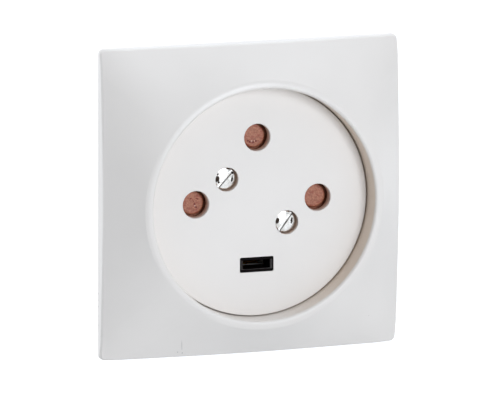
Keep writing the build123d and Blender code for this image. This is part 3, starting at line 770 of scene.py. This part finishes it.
# One soft light in front, to the right and a little above, a weak one and a pale card low on the
# right that the screw heads mirror, and a rim light behind on the left. The ceiling and the wall
# behind are white, and the room in front is dark, which greys what faces left. The light is as
# cool as the urea is warm, so the faces come out neutral
studio = {
    "lightTint": (0.937, 1.0, 1.079),
    "floorDrop": 0.35,
    "floorHalf": 6.0,
    "floorColour": "#C2C2C2",
    "glowStart": 0.5,
    "glowEnd": 1.2,
    "glowStrength": 0.62,
    # azimuth and elevation in degrees, as for the camera
    "lights": {
        "keyLight": {"azimuth": 11.0, "elevation": 13.5, "distance": 1.4, "size": 0.5, "power": 8.9},
        "lowLight": {"azimuth": 13.0, "elevation": -4.0, "distance": 1.4, "size": 0.28, "power": 0.45},
        "cardLight": {"azimuth": 25.0, "elevation": -16.0, "distance": 1.4, "size": 0.75, "power": 0.9},
        "rimLight": {"azimuth": -140.0, "elevation": 5.0, "distance": 1.4, "size": 0.5, "power": 4.2},
    },
    # the back wall fades in between these parts of the way from side to back
    "backStart": -0.15,
    "backEnd": 0.35,
    "backStrength": 1.04,
    "ceilingStrength": 0.75,
}


def towards(azimuth, elevation):
    # Direction from the socket, with azimuth 0 straight in front
    turn, lift = math.radians(azimuth), math.radians(elevation)
    return Vector((math.sin(turn) * math.cos(lift), -math.cos(turn) * math.cos(lift), math.sin(lift)))


def makeCamera():
    place = cameraPlace
    data = bpy.data.cameras.new("photoCamera")
    data.sensor_width = 36.0
    data.lens = data.sensor_width * place["focalPixels"] / place["frameWidth"]
    data.clip_start = 0.1
    camera = bpy.data.objects.new("photoCamera", data)
    bpy.context.scene.collection.objects.link(camera)
    back = towards(place["azimuth"], place["elevation"])
    facing = (-back).to_track_quat("-Z", "Y").to_matrix().to_4x4()
    tilt = Matrix.Rotation(math.radians(place["roll"]), 4, "Z")
    stand = Matrix.Translation(Vector(place["target"]) + back * place["distance"])
    camera.matrix_world = stand @ facing @ tilt
    bpy.context.scene.camera = camera


def makeLight(name, settings):
    data = bpy.data.lights.new(name, "AREA")
    data.size = settings["size"]
    data.energy = settings["power"]
    data.color = studio["lightTint"]
    light = bpy.data.objects.new(name, data)
    bpy.context.scene.collection.objects.link(light)
    out = towards(settings["azimuth"], settings["elevation"])
    light.location = out * settings["distance"]
    light.rotation_mode = "QUATERNION"
    light.rotation_quaternion = out.to_track_quat("Z", "Y")


def makeFloor():
    settings = studio
    half = settings["floorHalf"]
    bpy.ops.mesh.primitive_plane_add(size=2 * half, location=(0, 0, -settings["floorDrop"]))
    floor = bpy.context.object
    floor.name = "studioFloor"
    material, tree, shader, place = newMaterial("paleStudioFloor", {
        "Base Color": linearColour(settings["floorColour"]),
        "Roughness": 0.9,
        "Emission Color": (1, 1, 1, 1),
    })
    reach = addNode(tree, "ShaderNodeSeparateXYZ", links={"Vector": place})
    glow = addNode(tree, "ShaderNodeMapRange", {"interpolation_type": "SMOOTHSTEP"}, {
        "From Min": settings["glowStart"],
        "From Max": settings["glowEnd"],
        "To Max": settings["glowStrength"],
    }, {"Value": reach.outputs["Y"]})
    tree.links.new(glow.outputs["Result"], shader.inputs["Emission Strength"])
    floor.data.materials.append(material)


def makeRoom():
    # Room light by direction: dark in front, white behind and overhead
    settings = studio
    world = bpy.data.worlds.new("studioWorld")
    bpy.context.scene.world = world
    world.use_nodes = True
    tree = world.node_tree
    direction = addNode(tree, "ShaderNodeTexCoord").outputs["Generated"]
    parts = addNode(tree, "ShaderNodeSeparateXYZ", links={"Vector": direction})
    behind = addNode(tree, "ShaderNodeMapRange", {"interpolation_type": "SMOOTHSTEP"},
                     {"From Min": settings["backStart"], "From Max": settings["backEnd"]},
                     {"Value": parts.outputs["Y"]})
    above = addNode(tree, "ShaderNodeMapRange", {"interpolation_type": "SMOOTHSTEP"},
                    links={"Value": parts.outputs["Z"]})
    wall = addNode(tree, "ShaderNodeMath", {"operation": "MULTIPLY"}, {1: settings["backStrength"]},
                   {0: behind.outputs["Result"]})
    white = addNode(tree, "ShaderNodeMath", {"operation": "MULTIPLY_ADD"}, {1: settings["ceilingStrength"]},
                    {0: above.outputs["Result"], 2: wall.outputs["Value"]})
    background = tree.nodes["Background"]
    background.inputs["Color"].default_value = (*settings["lightTint"], 1.0)
    tree.links.new(white.outputs["Value"], background.inputs["Strength"])


def makeStudio():
    for name, light in studio["lights"].items():
        makeLight(name, light)
    makeFloor()
    makeRoom()
    bpy.context.scene.view_settings.view_transform = "Standard"


makeCamera()
makeStudio()
print("camera and lights placed")
